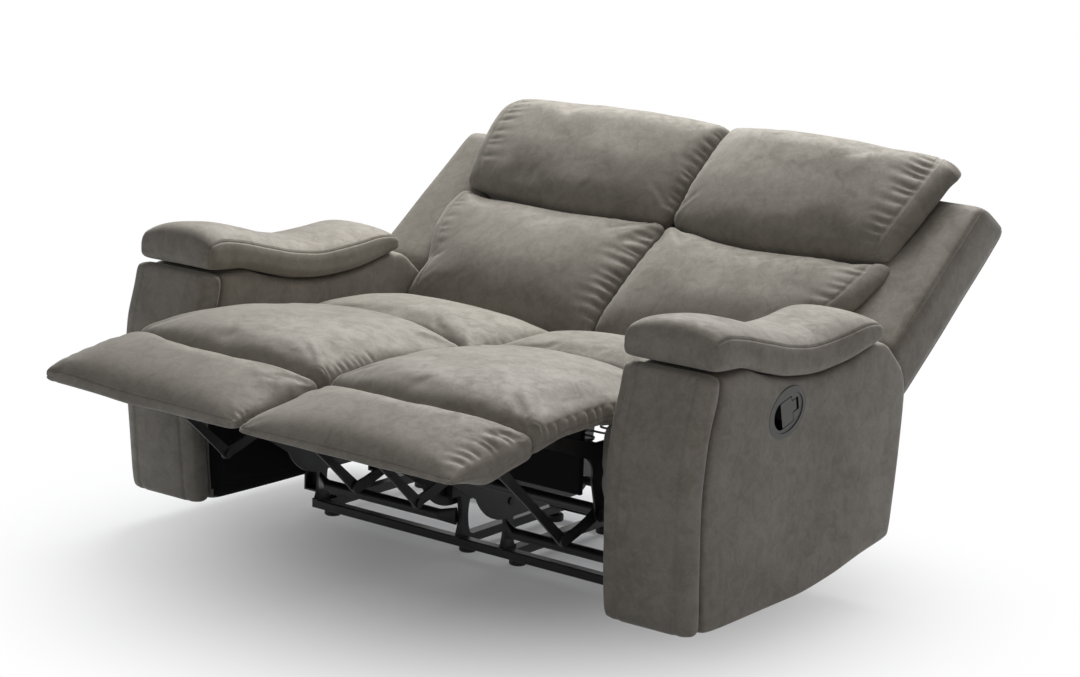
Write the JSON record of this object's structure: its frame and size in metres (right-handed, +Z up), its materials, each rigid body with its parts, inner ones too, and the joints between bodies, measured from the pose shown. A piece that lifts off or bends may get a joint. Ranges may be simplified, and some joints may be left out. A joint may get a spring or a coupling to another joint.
{
  "type": "reclining sofa",
  "caption": "Two-seat manual reclining sofa, seats reclined and footrests out, on a black steel linkage base with side pull levers",
  "frame": {"origin": "on the floor, under the middle of the reclined sofa", "axes": "+X to the viewer's right from the front, sofa faces -Y, +Z up"},
  "size_m": [1.5, 1.6809, 0.8582],
  "materials": {
    "suede_cover": "grey-taupe brushed microfibre",
    "black_cloth": "black lining cloth",
    "black_steel": "black powder coat",
    "bright_steel": "zinc plated",
    "glide_plastic": "moulded nylon",
    "grey_plastic": "fine-textured moulded plastic",
    "plywood": "raw plywood and softwood"
  },
  "bodies": {
    "base": {"base_front_rail": "black_steel", "base_rear_rail": "black_steel", "base_runners": "black_steel", "glide_feet": "glide_plastic", "track_posts": "black_steel", "track_rails": "black_steel", "cross_tubes": "black_steel", "arm_brackets": "black_steel", "arm_bolts": "bright_steel", "arm_frame_left": "plywood", "arm_front_panel_left": "suede_cover", "arm_outer_panel_left": "suede_cover", "arm_inner_panel_left": "suede_cover", "arm_pad_left": "suede_cover", "handle_cup_left": "grey_plastic", "arm_frame_right": "plywood", "arm_front_panel_right": "suede_cover", "arm_outer_panel_right": "suede_cover", "arm_inner_panel_right": "suede_cover", "arm_pad_right": "suede_cover", "handle_cup_right": "grey_plastic"},
    "lever_left": {"pull_lever_left": "grey_plastic"},
    "seat_left": {"side_plates_left": "black_steel", "track_rollers_left": "glide_plastic", "hinge_pins_left": "bright_steel", "seat_rails_left": "black_steel", "seat_springs_left": "bright_steel", "front_board_left": "black_cloth", "thigh_cushion_left": "suede_cover", "seat_cushion_left": "suede_cover"},
    "footrest_left": {"footrest_bridge_left": "suede_cover", "footrest_pad_left": "suede_cover", "footrest_board_left": "plywood", "footrest_brackets_left": "black_steel"},
    "crank_left": {"crank_shaft_left": "black_steel"},
    "link_left": {"footrest_links_left": "black_steel"},
    "back_left": {"back_frame_left": "plywood", "back_shell_left": "suede_cover", "lumbar_cushion_left": "suede_cover", "headrest_cushion_left": "suede_cover"},
    "lever_right": {"pull_lever_right": "grey_plastic"},
    "seat_right": {"side_plates_right": "black_steel", "track_rollers_right": "glide_plastic", "hinge_pins_right": "bright_steel", "seat_rails_right": "black_steel", "seat_springs_right": "bright_steel", "front_board_right": "black_cloth", "thigh_cushion_right": "suede_cover", "seat_cushion_right": "suede_cover"},
    "footrest_right": {"footrest_bridge_right": "suede_cover", "footrest_pad_right": "suede_cover", "footrest_board_right": "plywood", "footrest_brackets_right": "black_steel"},
    "crank_right": {"crank_shaft_right": "black_steel"},
    "link_right": {"footrest_links_right": "black_steel"},
    "back_right": {"back_frame_right": "plywood", "back_shell_right": "suede_cover", "lumbar_cushion_right": "suede_cover", "headrest_cushion_right": "suede_cover"}
  },
  "joints": [
    {"name": "recline_left", "type": "slide", "parent": "base", "child": "seat_left", "axis": [0, 1, 0], "range_m": [0, 0.12]},
    {"name": "back_tilt_left", "type": "hinge", "parent": "seat_left", "child": "back_left", "pos_m": [-0.2635, 0.276, 0.395], "axis": [1, 0, 0], "range_deg": [0, 40]},
    {"name": "footrest_fold_left", "type": "hinge", "parent": "seat_left", "child": "footrest_left", "pos_m": [-0.2635, -0.49, 0.43], "axis": [1, 0, 0], "range_deg": [0, 90]},
    {"name": "crank_turn_left", "type": "hinge", "parent": "seat_left", "child": "crank_left", "pos_m": [-0.2635, -0.28747, 0.25145], "axis": [1, 0, 0], "range_deg": [0, 90]},
    {"name": "link_turn_left", "type": "hinge", "parent": "crank_left", "child": "link_left", "pos_m": [-0.2635, -0.39747, 0.21445], "axis": [1, 0, 0], "range_deg": [-90, 0]},
    {"name": "lever_pull_left", "type": "hinge", "parent": "base", "child": "lever_left", "pos_m": [-0.726, -0.052, 0.471], "axis": [0, 0, -1], "range_deg": [0, 28], "stiffness_Nm_per_rad": 0.8, "springref_deg": -5.73},
    {"name": "recline_right", "type": "slide", "parent": "base", "child": "seat_right", "axis": [0, 1, 0], "range_m": [0, 0.12]},
    {"name": "back_tilt_right", "type": "hinge", "parent": "seat_right", "child": "back_right", "pos_m": [0.2635, 0.276, 0.395], "axis": [1, 0, 0], "range_deg": [0, 40]},
    {"name": "footrest_fold_right", "type": "hinge", "parent": "seat_right", "child": "footrest_right", "pos_m": [0.2635, -0.49, 0.43], "axis": [1, 0, 0], "range_deg": [0, 90]},
    {"name": "crank_turn_right", "type": "hinge", "parent": "seat_right", "child": "crank_right", "pos_m": [0.2635, -0.28747, 0.25145], "axis": [1, 0, 0], "range_deg": [0, 90]},
    {"name": "link_turn_right", "type": "hinge", "parent": "crank_right", "child": "link_right", "pos_m": [0.2635, -0.39747, 0.21445], "axis": [1, 0, 0], "range_deg": [-90, 0]},
    {"name": "lever_pull_right", "type": "hinge", "parent": "base", "child": "lever_right", "pos_m": [0.726, -0.052, 0.471], "axis": [0, 0, 1], "range_deg": [0, 28], "stiffness_Nm_per_rad": 0.8, "springref_deg": -5.73}
  ],
  "couplings": [
    {"joint": "back_tilt_left", "follows": "recline_left", "rad_per_m": 5.7887},
    {"joint": "crank_turn_left", "follows": "footrest_fold_left", "ratio": 1},
    {"joint": "link_turn_left", "follows": "footrest_fold_left", "ratio": -1},
    {"joint": "back_tilt_right", "follows": "recline_right", "rad_per_m": 5.7887},
    {"joint": "crank_turn_right", "follows": "footrest_fold_right", "ratio": 1},
    {"joint": "link_turn_right", "follows": "footrest_fold_right", "ratio": -1}
  ]
}
